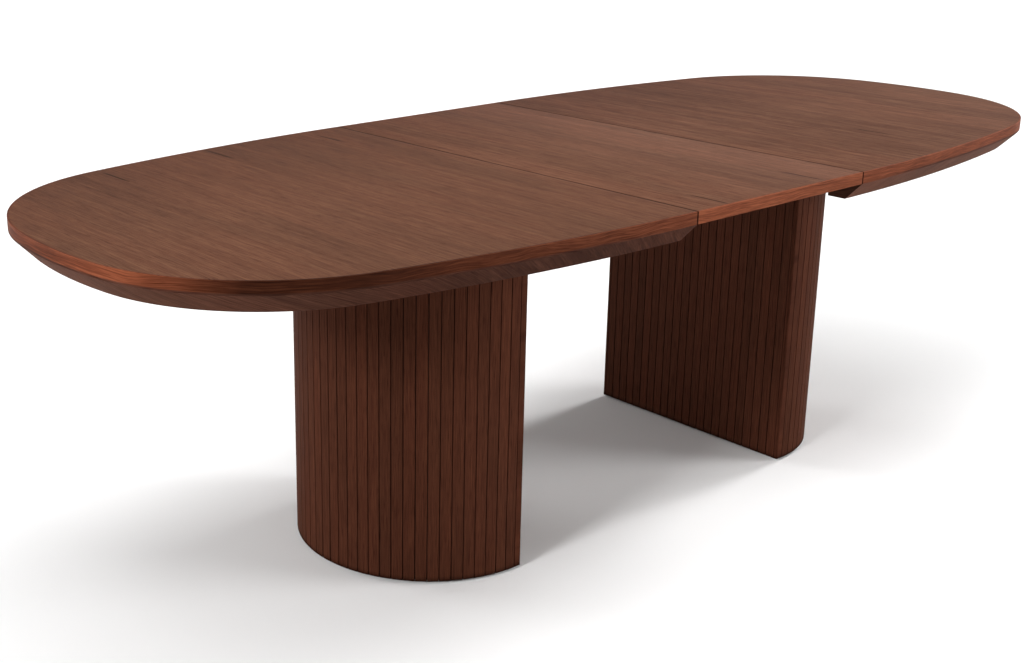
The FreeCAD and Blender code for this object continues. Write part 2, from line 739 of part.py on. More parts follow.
def flat_slats():
    body = new_body("right_flat_slats", "pedestal_spacing / 2 + slat_thickness")
    body.Placement.Rotation = FreeCAD.Rotation(FreeCAD.Vector(0, 0, 1), 180)
    pitch = f"(2 * {WALL_RADIUS} / flat_slat_count)"
    slat = pad(body, slat_profile(body, "glue_gap", f"({pitch} - slat_gap)"), PEDESTAL_HEIGHT)
    pattern = body.newObject("PartDesign::LinearPattern", "right_flat_slat_pattern")
    pattern.Originals = [slat]
    pattern.Direction = (origin_feature(body, "Y_Axis"), [""])
    bind(pattern, Length=f"{pitch} * (flat_slat_count - 1)", Occurrences="flat_slat_count")
    body.Tip = pattern
    body.setExpression("Placement.Base.y", link(f"{pitch} * (flat_slat_count - 1) / 2"))
    return body


def corner_slat():
    """The rear corner slat, which closes the edge between the flat and the curved side."""
    body = new_body("right_rear_corner_slat")
    near, far = "(pedestal_spacing / 2)", f"({SHELL_X} - slat_gap / 2)"
    inner, outer = f"({WALL_RADIUS} + glue_gap)", "(pedestal_width / 2)"
    sketch = new_sketch(body, "XY_Plane", "glide_height")
    polygon(sketch, [(near, inner), (far, inner), (far, outer), (near, outer)])
    solid = pad(body, sketch, PEDESTAL_HEIGHT)
    doc.recompute()
    corner = FreeCAD.Vector(num(near), num(outer), num("glide_height"))
    top = corner + FreeCAD.Vector(0, 0, num(PEDESTAL_HEIGHT))
    seen, outer_edges = [], []
    for edge in solid.Shape.Edges:
        seen.append(edge)
        ends = [vertex.Point for vertex in edge.Vertexes]
        if all(min(end.distanceToPoint(corner), end.distanceToPoint(top)) < SAME_POINT for end in ends):
            outer_edges.append(f"Edge{len(seen)}")
    rounding = body.newObject("PartDesign::Fillet", "right_rear_corner_slat_fillet")
    rounding.Base = (solid, outer_edges)
    bind(rounding, Radius="corner_round")
    return body


def make_pedestals(plate_holes):
    twin(curved_wall(), "right", "left", LEFT_RIGHT)
    board = box("right_flat_board", "pedestal_spacing / 2 + slat_thickness", f"0 - {WALL_RADIUS}",
                "glide_height", "board_thickness", f"2 * {WALL_RADIUS}", PEDESTAL_HEIGHT)
    twin(board, "right", "left", LEFT_RIGHT)
    plate = pedestal_plate("right_top_plate_blank", PLATE_UNDER, "top_plate_thickness")
    twin(cut("right_top_plate", plate, plate_holes), "right", "left", LEFT_RIGHT)
    shelf = pedestal_plate("right_shelf", "shelf_level", "shelf_thickness")
    twin(shelf, "right", "left", LEFT_RIGHT)
    base = pedestal_plate("right_base_plate", "glide_height", "base_plate_thickness")
    twin(base, "right", "left", LEFT_RIGHT)
    twin(curved_slats(), "right", "left", LEFT_RIGHT)
    twin(flat_slats(), "right", "left", LEFT_RIGHT)
    rear = corner_slat()
    front = mirror("right_front_corner_slat", rear, FRONT_BACK)
    twin(group("right_corner_slats", [rear, front]), "right", "left", LEFT_RIGHT)
    inner_radius = f"({WALL_RADIUS} - wall_thickness)"
    wide = f"({inner_radius} * cos(glide_angle) - glide_inset)"
    narrow = f"({inner_radius} * sin(glide_angle) - glide_inset)"
    near, far = f"{SHELL_X} + glide_inset", f"{SHELL_X} + {wide}"
    places = ((near, wide), (near, f"0 - {wide}"), (far, narrow), (far, f"0 - {narrow}"))
    glides = []
    for number, (x, y) in enumerate(places):
        glides.append(cylinder(f"right_glide_{number}", x, y, "0", "glide_radius", "glide_height"))
    twin(group("right_glides", glides), "right", "left", LEFT_RIGHT)


# Leaf

def make_leaf():
    start, length = f"0 - {LEAF_END}", f"2 * {LEAF_END}"
    panel_half = "(table_width / 2 - lipping_thickness)"
    blank = box("leaf_panel_blank", start, f"0 - {panel_half}", PANEL_UNDER, length, f"2 * {panel_half}",
                "panel_thickness")
    rear_strip = box("leaf_rear_lipping", start, panel_half, PANEL_UNDER, length, "lipping_thickness",
                     "panel_thickness")
    front_strip = mirror("leaf_front_lipping", rear_strip, FRONT_BACK)
    keep(group("leaf_lippings", [rear_strip, front_strip]))
    batten_y = f"({RAIL_Y} + rail_width / 2 + batten_clearance)"
    batten_under = f"({PANEL_UNDER} - batten_depth)"
    screw_y = f"({batten_y} + batten_width / 2)"
    screw_length = "batten_depth + screw_bite"
    pad_drop = "flange_thickness + slide_clearance"
    screw_places = ("screw_inset - batten_length / 2", "0", "batten_length / 2 - screw_inset")
    battens, screws, bores, pads = [], [], [], []
    for row, sign, edge in (("rear", "", batten_y), ("front", "0 - ", f"0 - {batten_y} - batten_width")):
        batten = box(f"leaf_{row}_batten_blank", "0 - batten_length / 2", edge, batten_under, "batten_length",
                     "batten_width", "batten_depth")
        row_bores = []
        for number, x in enumerate(screw_places):
            name = f"leaf_{row}_batten_screw_{number}"
            screws.append(screw(name, x, f"{sign}{screw_y}", batten_under, screw_length))
            row_bores.append(hole(f"{name}_bore", x, f"{sign}{screw_y}", batten_under,
                                  f"{screw_length} + hole_clearance"))
        battens.append(cut(f"leaf_{row}_batten", batten, row_bores))
        bores += row_bores
        for number, x in enumerate(("rest_pad_offset", "0 - rest_pad_offset")):
            pads.append(box(f"leaf_{row}_pad_{number}", f"{x} - rest_pad_length / 2",
                            f"{sign}{RAIL_Y} - rail_width / 2", RAIL_TOP, "rest_pad_length", "rail_width",
                            pad_drop))
    keep(cut("leaf_panel", blank, bores))
    keep(group("leaf_battens", battens))
    keep(group("leaf_batten_screws", screws))
    keep(group("leaf_rest_pads", pads))


def write_nodes():
    doc.recompute()
    for item in doc.Objects:
        if {"Invalid", "Error"} & set(item.State):
            raise RuntimeError(f"{item.Label} did not build: {item.State}")
    os.makedirs("parts", exist_ok=True)
    for item in NODES:
        if item.Shape.isNull() or not item.Shape.isValid() or not item.Shape.Solids:
            raise RuntimeError(f"{item.Label} has no sound solid")
        item.Shape.exportStep(f"parts/{item.Label}.step")
    print(len(NODES), "nodes written")


make_ends()
make_pinion()
make_rack_guides()
make_pedestals(make_rails())
make_leaf()
write_nodes()
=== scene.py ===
import json
import math
from collections import namedtuple

import bmesh
import bpy
from mathutils import Matrix, Vector


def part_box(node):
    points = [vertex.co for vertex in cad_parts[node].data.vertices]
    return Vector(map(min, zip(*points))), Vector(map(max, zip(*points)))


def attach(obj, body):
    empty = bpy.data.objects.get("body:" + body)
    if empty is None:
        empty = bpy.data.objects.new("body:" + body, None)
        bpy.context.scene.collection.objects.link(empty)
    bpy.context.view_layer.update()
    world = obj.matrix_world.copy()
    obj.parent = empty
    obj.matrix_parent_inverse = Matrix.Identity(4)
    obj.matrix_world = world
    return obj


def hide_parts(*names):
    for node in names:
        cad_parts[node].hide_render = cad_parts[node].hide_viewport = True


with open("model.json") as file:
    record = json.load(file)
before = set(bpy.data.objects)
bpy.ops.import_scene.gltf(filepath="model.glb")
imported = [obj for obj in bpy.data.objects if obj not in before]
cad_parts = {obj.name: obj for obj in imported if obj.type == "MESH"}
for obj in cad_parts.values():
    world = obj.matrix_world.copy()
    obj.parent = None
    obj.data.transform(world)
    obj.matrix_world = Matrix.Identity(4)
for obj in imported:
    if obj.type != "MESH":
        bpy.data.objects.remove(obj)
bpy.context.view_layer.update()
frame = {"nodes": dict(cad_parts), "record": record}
nodes = frame["nodes"]
node_slot = {row["node"]: row["material_slot"] for row in frame["record"]["subparts"]}

# Sizes shared with the part, in metres
SIDE_RADIUS = 3.6
CORNER_RADIUS = 0.399
END_RADIUS = 0.9
BEVEL_INSET = 0.036
RIM_FLAT = 0.040
LIPPING = 0.004
TOP_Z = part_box("right_lipping")[1].z
UNDER_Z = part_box("right_lipping")[0].z
RIM_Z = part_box("right_bevel_rim")[0].z
SEAM_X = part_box("right_lipping")[0].x
TIP_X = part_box("right_lipping")[1].x
HALF_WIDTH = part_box("right_lipping")[1].y
LEAF_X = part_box("leaf_panel")[1].x
SHELL_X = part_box("right_curved_wall")[0].x
CURVED_SLATS = 36
FLAT_SLATS = 23
FLAT_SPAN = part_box("right_flat_board")[1].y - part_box("right_flat_board")[0].y

# How far edges are eased, and how finely they and the outline are drawn
EDGE_EASE = 0.0009
SEAM_EASE = 0.0010
BEVEL_EASE = 0.0012
EASE_STEPS = 4
SEAM_STEPS = 3
ROUND_PROFILE = 0.5
ARC_STEPS = 64
SHARP_ANGLE = math.radians(35)
SAME = 1e-6

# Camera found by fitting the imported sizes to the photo
PHOTO_WIDTH = 1024
PHOTO_HEIGHT = 663
SENSOR_MM = 36
FOCAL_PX = 1468.12
CENTRE_PX = (356.87, 299.14)
CAMERA_AT = (-2.2779, -2.1387, 1.3832)
CAMERA_YAW = math.radians(38.0)
CAMERA_PITCH = math.radians(17.42)
CAMERA_ROLL = math.radians(-0.43)

# Suns: where they come from as azimuth and elevation, how wide they are, and their strength
AMBIENT = 0.24
SUNS = {
    "overhead": (0, 88, 44, 0.22),
    "left_high": (180, 65, 30, 0.14),
    "left": (186, 24, 14, 0.68),
    "left_rear": (116, 4, 30, 0.92),
    "right": (2, 24, 14, 0.64),
    "right_front": (-42, 10, 30, 1.04),
}
WHITE = (1, 1, 1, 1)
FLOOR_SIZE = 80
FLOOR_COLOUR = (0.97, 0.97, 0.97, 1)
FLOOR_ROUGHNESS = 0.9
FLOOR_SPECULAR = 0.1


def srgb(red, green, blue):
    """A colour written as 0 to 255 in sRGB, as linear RGBA by the standard's curve."""
    parts = []
    for value in (red, green, blue):
        share = value / 255
        parts.append(share / 12.92 if share <= 0.04045 else ((share + 0.055) / 1.055) ** 2.4)
    return (*parts, 1)


# Shader building

class Shader:
    """A material whose node tree is under construction."""

    def __init__(self, name):
        self.material = bpy.data.materials.new(name)
        self.material.use_nodes = True
        self.tree = self.material.node_tree
        self.surface = self.tree.nodes["Principled BSDF"]

    def feed(self, socket, value):
        if isinstance(value, bpy.types.NodeSocket):
            self.tree.links.new(value, socket)
        else:
            socket.default_value = value

    def node(self, kind, inputs, **settings):
        item = self.tree.nodes.new(kind)
        for name, value in settings.items():
            setattr(item, name, value)
        for key, value in inputs.items():
            self.feed(item.inputs[key], value)
        return item

    def set(self, **inputs):
        for name, value in inputs.items():
            self.feed(self.surface.inputs[name.replace("_", " ")], value)

    def sum(self, first, second):
        return self.node("ShaderNodeMath", {0: first, 1: second}, operation="ADD").outputs[0]

    def times(self, first, second):
        return self.node("ShaderNodeMath", {0: first, 1: second}, operation="MULTIPLY").outputs[0]

    def absolute(self, value):
        return self.node("ShaderNodeMath", {0: value}, operation="ABSOLUTE").outputs[0]

    def floor(self, value):
        return self.node("ShaderNodeMath", {0: value}, operation="FLOOR").outputs[0]

    def split(self, vector):
        """The three parts of a vector."""
        parts = self.node("ShaderNodeSeparateXYZ", {0: vector})
        return parts.outputs[0], parts.outputs[1], parts.outputs[2]

    def position(self):
        """The point on the object as three sockets; it rides with the object."""
        return self.split(self.node("ShaderNodeTexCoord", {}).outputs["Object"])

    def normal(self):
        """The way the surface faces, as three sockets."""
        return self.split(self.node("ShaderNodeNewGeometry", {}).outputs["Normal"])

    def vector(self, x, y, z):
        return self.node("ShaderNodeCombineXYZ", {0: x, 1: y, 2: z}).outputs[0]

    def noise(self, vector, detail, roughness=0.5, distortion=0.0):
        inputs = {"Vector": vector, "Scale": 1.0, "Detail": detail, "Roughness": roughness,
                  "Distortion": distortion}
        return self.node("ShaderNodeTexNoise", inputs).outputs[0]

    def random(self, value):
        return self.node("ShaderNodeTexWhiteNoise", {"W": value}, noise_dimensions="1D").outputs[0]

    def span(self, value, low, high, new_low=0.0, new_high=1.0):
        """A value mapped from one range to another, held at the ends."""
        inputs = {"Value": value, "From Min": low, "From Max": high, "To Min": new_low,
                  "To Max": new_high}
        return self.node("ShaderNodeMapRange", inputs).outputs[0]

    def blend(self, share, first, second):
        inputs = {0: share, 2: first, 3: second}
        return self.node("ShaderNodeMix", inputs, data_type="FLOAT").outputs[0]

    def ramp(self, value, stops):
        item = self.node("ShaderNodeValToRGB", {0: value})
        band = item.color_ramp
        while len(band.elements) < len(stops):
            band.elements.new(0.5)
        for element, (place, colour) in zip(band.elements, stops):
            element.position = place
            element.color = colour
        return item.outputs[0]

    def tint(self, colour, amount, darker):
        """A colour multiplied towards a darker one by an amount."""
        item = self.node("ShaderNodeMix", {0: amount, 6: colour, 7: darker}, data_type="RGBA",
                         blend_type="MULTIPLY")
        return item.outputs[2]

    def bump(self, height, strength, distance):
        inputs = {"Height": height, "Strength": strength, "Distance": distance}
        self.set(Normal=self.node("ShaderNodeBump", inputs).outputs[0])


STRAIGHT_OUT = 0.5


def turn_about(shader, x, y, centre_x, outward):
    """The angle round a centre on the X axis, one per turn, a half of one straight outward."""
    away = shader.times(shader.sum(x, -centre_x), outward)
    place = shader.vector(away, y, 0.0)
    return shader.node("ShaderNodeTexGradient", {"Vector": place}, gradient_type="RADIAL").outputs[1]


# Wood

# A layer of the grain: repeats per metre along and across it, then the settings of its noise
Layer = namedtuple("Layer", "along across detail roughness distortion")
BROAD = Layer(1.6, 9.0, 2.0, 0.5, 0.4)
LINES = Layer(3.0, 130.0, 4.0, 0.65, 0.2)
FIBRE = Layer(11.0, 400.0, 3.0, 0.65, 0.0)
FLECKS = Layer(14.0, 420.0, 1.0, 0.5, 0.0)
PORES = Layer(32.0, 1100.0, 1.0, 0.5, 0.0)

# How much each layer counts in the tone
BROAD_SHARE = 0.25
LINE_SHARE = 0.60
FIBRE_SHARE = 0.75

# Levels of the noise from which a layer begins to show to where it shows in full
FLECK_LEVELS = (0.60, 0.74)
PORE_LEVELS = (0.56, 0.68)
BLUSH_LEVELS = (0.40, 0.62)
FIBRE_LEVELS = (0.3, 0.7)

# Tints, and how much the pores and flecks take up of theirs
BLUSH = srgb(255, 248, 247)
PORE_DARK = srgb(120, 92, 80)
PORE_DEPTH = 0.45
# Darkening tint for seam lines, marks, cut ends and the left edge's dark stretch, and for painted
# shade on the slats
DARKENING_TINT = (0.1, 0.1, 0.1, 1)
# Tint for the foot of the ends' edge: part the bevel's colour, part painted shade
LAP_COLOUR_AND_SHADE = (0.46, 0.62, 0.86, 1)

# Heights of fibre and pores, and the bump's strength and its distance in metres
FIBRE_RISE = 0.6
PORE_SINK = -0.8
WOOD_BUMP = (0.22, 0.0004)

# A wood's dark, plain and light colours, range of roughness, specular level, weight of its
# growth lines and spread of tone from plain to dark or light
Finish = namedtuple("Finish", "colours roughness specular figure spread")
LEFT_TOP = Finish((srgb(70, 43, 32), srgb(96, 64, 48), srgb(119, 85, 65)),
                  roughness=(0.50, 0.62), specular=0.009, figure=0.7, spread=0.25)
# The right end's top is a lighter copy of the left end's wood: painted light
RIGHT_TOP_PAINTED_LIGHT = Finish((srgb(72, 45, 34), srgb(99, 67, 52), srgb(123, 89, 70)),
                   roughness=(0.50, 0.62), specular=0.009, figure=0.7, spread=0.17)
LEAF_TOP = Finish((srgb(74, 47, 36), srgb(102, 69, 53), srgb(126, 91, 72)),
                  roughness=(0.50, 0.62), specular=0.009, figure=0.7, spread=0.22)
EDGE = Finish((srgb(62, 30, 18), srgb(100, 53, 34), srgb(134, 77, 52)),
              roughness=(0.48, 0.60), specular=0.015, figure=0.6, spread=0.22)
BEVEL = Finish((srgb(49, 28, 21), srgb(71, 45, 35), srgb(92, 61, 48)),
               roughness=(0.52, 0.64), specular=0.008, figure=0.7, spread=0.22)
SLATS = Finish((srgb(42, 22, 14), srgb(66, 37, 26), srgb(88, 53, 37)),
               roughness=(0.50, 0.64), specular=0.006, figure=0.3, spread=0.34)
PLYWOOD = Finish((srgb(150, 116, 80), srgb(178, 144, 104), srgb(200, 170, 130)),
                 roughness=(0.55, 0.70), specular=0.015, figure=1.0, spread=0.22)
BEECH = Finish((srgb(150, 105, 70), srgb(180, 134, 94), srgb(204, 162, 122)),
               roughness=(0.55, 0.70), specular=0.015, figure=1.0, spread=0.22)

# Where each wood is cut from the noise: a fixed place, or the reach of a chance one
EDGE_SEED = 3.0
RAW_SEED = 5.0
BEVEL_SEED = 11.0
VENEER_SEEDS = 40.0
SLAT_SEEDS = 30.0


def wood(shader, along, across, depth, seed, finish, shift=0.0, darkening=0.0, lap_colour_and_shade=None):
    """Stained open-pored veneer: broad tone, growth lines, fine fibre, dark flecks and pores."""
    def noise(layer):
        place = shader.vector(shader.sum(shader.times(along, layer.along), seed),
                              shader.times(across, layer.across),
                              shader.times(depth, layer.across))
        return shader.noise(place, layer.detail, layer.roughness, layer.distortion)

    broad, lines, fibre = noise(BROAD), noise(LINES), noise(FIBRE)
    flecks = shader.span(noise(FLECKS), *FLECK_LEVELS)
    pores = shader.span(noise(PORES), *PORE_LEVELS)
    line_share = LINE_SHARE * finish.figure
    tone = shader.sum(shader.times(broad, BROAD_SHARE), shader.times(lines, line_share))
    tone = shader.sum(shader.sum(tone, shader.times(fibre, FIBRE_SHARE)), shift)
    middle = (BROAD_SHARE + line_share + FIBRE_SHARE) / 2
    dark, plain, light = finish.colours
    colour = shader.ramp(tone, [(middle - finish.spread, dark), (middle, plain),
                                (middle + finish.spread, light)])
    colour = shader.tint(colour, shader.span(broad, *BLUSH_LEVELS), BLUSH)
    colour = shader.tint(colour, shader.times(shader.sum(pores, flecks), PORE_DEPTH), PORE_DARK)
    # The bevel's colour and painted shade over the foot of an end's edge
    if lap_colour_and_shade is not None:
        colour = shader.tint(colour, lap_colour_and_shade, LAP_COLOUR_AND_SHADE)
    # Darkening: real seam lines, marks and cut ends, and painted shade at the slats' edges and foot
    shader.set(Base_Color=shader.tint(colour, darkening, DARKENING_TINT))
    shader.set(Roughness=shader.span(fibre, *FIBRE_LEVELS, *finish.roughness),
               Specular_IOR_Level=finish.specular)
    height = shader.sum(shader.times(fibre, FIBRE_RISE), shader.times(pores, PORE_SINK))
    shader.bump(height, *WOOD_BUMP)


# The top is laid in leaves of veneer of this width and has painted shade that darkens it towards the
# rear
VENEER_LEAF = 0.282
REAR_PAINTED_SHADE = -0.13

# Short dark marks in the veneer: their middles on the top, and how far from its middle a mark
# is still full and then gone, along and across the grain
MARKS = ((-0.906, 0.387), (-0.630, 0.437), (-0.348, 0.425),
         (-0.162, -0.480), (0.130, -0.469), (0.627, -0.293))
MARK_LENGTH = (0.030, 0.060)
MARK_WIDTH = (0.0016, 0.0040)
MARK_DEPTH = 0.75

# The dark line at the seams
SEAM_MIDDLE = (SEAM_X + LEAF_X) / 2
SEAM_LINE = 0.0026
SEAM_DEPTH = 0.9

# The rim of an end is measured in turns about this centre, one turn being about this long
RIM_CENTRE_X = 0.6
RIM_TURN_LENGTH = 4.2

# A dark stretch of the left end's edge and the tones beside and at its tip, in turns
DARK_STRETCH = (0.10, 0.36, 0.40, 0.45)
STRETCH_DEPTH = 0.86
TIP_TURNS = (0.46, 0.50)
BESIDE_TIP_TONE = 0.06
TIP_TONE = -0.07

# Lines along the edge are drawn out longer than on the top and wander up and down
EDGE_STRETCH = 0.9
EDGE_FLAMES = 6.0
EDGE_RISE = 0.008
WANDER_DETAIL = 1.0
WANDER_LEVELS = (0.2, 0.8)
LEAF_EDGE_TONE = 0.06

# The edge's arris is painted lighter as a painted highlight; these are upward shares of the normal
ON_TOP = (0.7, 0.9)
ARRIS_BEGINS = (0.1, 0.4)
ARRIS_ENDS = (0.7, 0.95)
ARRIS_HIGHLIGHT = 0.30

# The foot of the ends' edge is painted in the bevel's tone, part the bevel's colour and part painted
# shade, and this runs out at the seams
LAP_Z = UNDER_Z + 0.0032
LAP_FADE = 0.0006
LAP_RUN_OUT = 0.25
LAP_STRETCH = 0.5

# The bevel's grain leans from straight down the slope towards the seam, its tone falls with the
# turns from the tip, and its cut ends, which face along X, take up more stain
BEVEL_LENGTH = math.hypot(BEVEL_INSET, UNDER_Z - RIM_Z)
BEVEL_SLANT = math.radians(56)
BEVEL_TONE_TURNS = (0.06, 0.17)
BEVEL_TIP_TONE = 0.12
BEVEL_SIDE_TONE = -0.13
# The right end's bevel is painted lighter throughout: painted light
RIGHT_BEVEL_PAINTED_LIGHT = 0.12
CUT_END_FACING = (0.95, 0.99)
CUT_END_DEPTH = 0.6


def seam_line(shader, x):
    """How far a point is into the dark line at a seam."""
    away = shader.absolute(shader.sum(shader.absolute(x), -SEAM_MIDDLE))
    return shader.span(away, SEAM_LINE / 2, SEAM_LINE, SEAM_DEPTH, 0.0)


def top_veneer(name, finish):
    """Grain across the table, in leaves of veneer laid side by side."""
    shader = Shader(name)
    x, y, z = shader.position()
    leaf = shader.floor(shader.times(x, 1 / VENEER_LEAF))
    seed = shader.times(shader.random(leaf), VENEER_SEEDS)
    darkening = seam_line(shader, x)
    for mark_x, mark_y in MARKS:
        aside = shader.absolute(shader.sum(x, -mark_x))
        away = shader.absolute(shader.sum(y, -mark_y))
        mark = shader.times(shader.span(aside, *MARK_WIDTH, MARK_DEPTH, 0.0),
                            shader.span(away, *MARK_LENGTH, 1.0, 0.0))
        darkening = shader.sum(darkening, mark)
    # Painted shade: the top darkens towards the rear
    tone = shader.span(y, 0.0, HALF_WIDTH, 0.0, REAR_PAINTED_SHADE)
    wood(shader, y, x, z, seed, finish, tone, darkening)
    return shader.material


def edge_lipping(name, outward, shift=0.0):
    """Grain along the rim on the upright edge, and the top's grain where the veneer covers it."""
    shader = Shader(name)
    x, y, z = shader.position()
    rim = x
    darkening = seam_line(shader, x)
    lap_colour_and_shade = None
    if outward:
        turn = turn_about(shader, x, y, outward * RIM_CENTRE_X, outward)
        rim = shader.times(turn, RIM_TURN_LENGTH)
        # Painted shade in the bevel's colour over the foot of the edge
        low = shader.span(z, LAP_Z, LAP_Z + LAP_FADE, 1.0, 0.0)
        lap_colour_and_shade = shader.times(low, shader.span(shader.absolute(x), SEAM_X, SEAM_X + LAP_RUN_OUT))
    if outward < 0:
        front, front_full, end_full, end = DARK_STRETCH
        rise = shader.span(turn, front, front_full)
        fall = shader.span(turn, end_full, end, STRETCH_DEPTH, 0.0)
        above_lap = shader.span(low, 0.0, 1.0, 1.0, LAP_STRETCH)
        darkening = shader.sum(darkening, shader.times(shader.times(rise, fall), above_lap))
        tip = shader.span(turn, *TIP_TURNS, BESIDE_TIP_TONE, TIP_TONE)
        shift = shader.times(tip, shader.span(turn, front_full, end))
    up = shader.normal()[2]
    on_top = shader.span(up, *ON_TOP)
    along = shader.blend(on_top, shader.times(rim, EDGE_STRETCH), y)
    flames = shader.vector(shader.times(rim, EDGE_FLAMES), 0.0, 0.0)
    wander = shader.noise(flames, WANDER_DETAIL)
    flame = shader.sum(z, shader.span(wander, *WANDER_LEVELS, -EDGE_RISE, EDGE_RISE))
    across = shader.blend(on_top, flame, x)
    # Painted highlight along the eased arris
    arris_highlight = shader.times(shader.span(up, *ARRIS_BEGINS),
                         shader.span(up, *ARRIS_ENDS, ARRIS_HIGHLIGHT, 0.0))
    wood(shader, along, across, 0.0, EDGE_SEED, EDGE, shader.sum(arris_highlight, shift), darkening, lap_colour_and_shade)
    return shader.material


def bevel_veneer(name):
    """Grain slanting across the bevel, on the left lighter at the tip than along the sides."""
    shader = Shader(name)
    x, y, z = shader.position()
    outward_x = shader.absolute(x)
    turn = turn_about(shader, outward_x, y, RIM_CENTRE_X, 1)
    from_tip = shader.absolute(shader.sum(turn, -STRAIGHT_OUT))
    rim = shader.times(from_tip, RIM_TURN_LENGTH)
    below = shader.sum(UNDER_Z, shader.times(z, -1.0))
    down = shader.times(below, BEVEL_LENGTH / (UNDER_Z - RIM_Z))
    lean, drop = math.sin(BEVEL_SLANT), math.cos(BEVEL_SLANT)
    along = shader.sum(shader.times(rim, lean), shader.times(down, drop))
    across = shader.sum(shader.times(rim, drop), shader.times(down, -lean))
    facing_x = shader.absolute(shader.normal()[0])
    at_seam = shader.span(outward_x, SEAM_X + SAME, SEAM_X + BEVEL_EASE, 1.0, 0.0)
    cut = shader.times(shader.span(facing_x, *CUT_END_FACING, 0.0, CUT_END_DEPTH), at_seam)
    left_tone = shader.span(from_tip, *BEVEL_TONE_TURNS, BEVEL_TIP_TONE, BEVEL_SIDE_TONE)
    # Painted light: the right end's bevel takes a lighter tone
    tone = shader.blend(shader.span(x, -SEAM_X, SEAM_X), left_tone, RIGHT_BEVEL_PAINTED_LIGHT)
    wood(shader, along, across, 0.0, BEVEL_SEED, BEVEL, tone, cut)
    return shader.material


# Each slat differs a little in tone; painted shade darkens it along its edges, as a share of its
# width, and a painted contact shadow darkens it at its foot
SLAT_TONE = 0.03
# The flat slats are painted darker than the curved ones: painted shade
FLAT_SLAT_SHADE = -0.07
SLAT_MIDDLE = 0.5
SLAT_EDGE_SHARE = 0.09
SLAT_EDGE_SHADE = 0.42
SLAT_FOOT_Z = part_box("right_curved_slats")[0].z
FOOT_SHADOW_HEIGHT = 0.010
FOOT_SHADOW_DEPTH = 0.8

# The curved slats fill a half turn; a whole one is about this long
SLATS_IN_TURN = 2.0 * CURVED_SLATS
SLAT_TURN_LENGTH = 1.7


def finish_slat(shader, count, across, up, shift):
    """Upright grain, each slat from its own piece of wood, with painted shade at its edges and a
    painted contact shadow at its foot.
    """
    index = shader.floor(count)
    chance = shader.random(index)
    tone = shader.span(chance, 0.0, 1.0, shift - SLAT_TONE, shift + SLAT_TONE)
    place = shader.sum(count, shader.times(index, -1.0))
    from_middle = shader.absolute(shader.sum(place, -SLAT_MIDDLE))
    # Painted shade along the slat's edges beside the gaps
    edge = shader.span(from_middle, SLAT_MIDDLE - SLAT_EDGE_SHARE, SLAT_MIDDLE, 0.0,
                       SLAT_EDGE_SHADE)
    # Painted contact shadow at the slat's foot
    foot_shadow = shader.span(up, SLAT_FOOT_Z, SLAT_FOOT_Z + FOOT_SHADOW_HEIGHT, FOOT_SHADOW_DEPTH, 0.0)
    seed = shader.times(chance, SLAT_SEEDS)
    wood(shader, up, across, 0.0, seed, SLATS, tone, shader.sum(edge, foot_shadow))


def curved_slat_wood(name, outward):
    shader = Shader(name)
    x, y, z = shader.position()
    turn = turn_about(shader, x, y, outward * SHELL_X, outward)
    count = shader.times(turn, SLATS_IN_TURN)
    finish_slat(shader, count, shader.times(turn, SLAT_TURN_LENGTH), z, 0.0)
    return shader.material


def flat_slat_wood(name):
    shader = Shader(name)
    y, z = shader.position()[1:]
    count = shader.times(shader.sum(y, FLAT_SPAN / 2), FLAT_SLATS / FLAT_SPAN)
    # Painted shade: the flat slats are toned darker
    finish_slat(shader, count, y, z, FLAT_SLAT_SHADE)
    return shader.material


# Hidden materials: detail and roughness of their noise, and the levels of their two colours
MOTTLE_NOISE = (4.0, 0.6)
MOTTLE_BUMP = 0.1
MOTTLE_RISE = 0.0003
BRUSH_NOISE = (2.0, 0.6)
BRUSH_BUMP = (0.08, 0.0002)
BRUSH_ALONG = 6.0
BRUSH_ACROSS = 1500.0
TWO_TONE_LEVELS = (0.3, 0.7)


def two_tone(shader, noise, colour, darker, roughness):
    low, high = TWO_TONE_LEVELS
    shader.set(Base_Color=shader.ramp(noise, [(low, darker), (high, colour)]),
               Roughness=shader.span(noise, low, high, *roughness))


def speckled(name, colour, darker, scale, roughness, metallic=0.0, bump=MOTTLE_BUMP):
    """A plain material with fine mottling, in colour, roughness and height."""
    shader = Shader(name)
    place = shader.vector(*(shader.times(part, scale) for part in shader.position()))
    mottle = shader.noise(place, *MOTTLE_NOISE)
    two_tone(shader, mottle, colour, darker, roughness)
    shader.set(Metallic=metallic)
    shader.bump(mottle, bump, MOTTLE_RISE)
    return shader.material


def brushed(name, colour, darker, roughness):
    """Metal with lines drawn along X."""
    shader = Shader(name)
    x, y, z = shader.position()
    place = shader.vector(shader.times(x, BRUSH_ALONG), shader.times(y, BRUSH_ACROSS),
                          shader.times(z, BRUSH_ACROSS))
    lines = shader.noise(place, *BRUSH_NOISE)
    two_tone(shader, lines, colour, darker, roughness)
    shader.set(Metallic=1.0)
    shader.bump(lines, *BRUSH_BUMP)
    return shader.material


def raw_wood(name, finish, axis):
    """Plain wood with its grain along one axis."""
    shader = Shader(name)
    place = shader.position()
    across, depth = [place[index] for index in range(3) if index != axis]
    wood(shader, place[axis], across, depth, RAW_SEED, finish)
    return shader.material


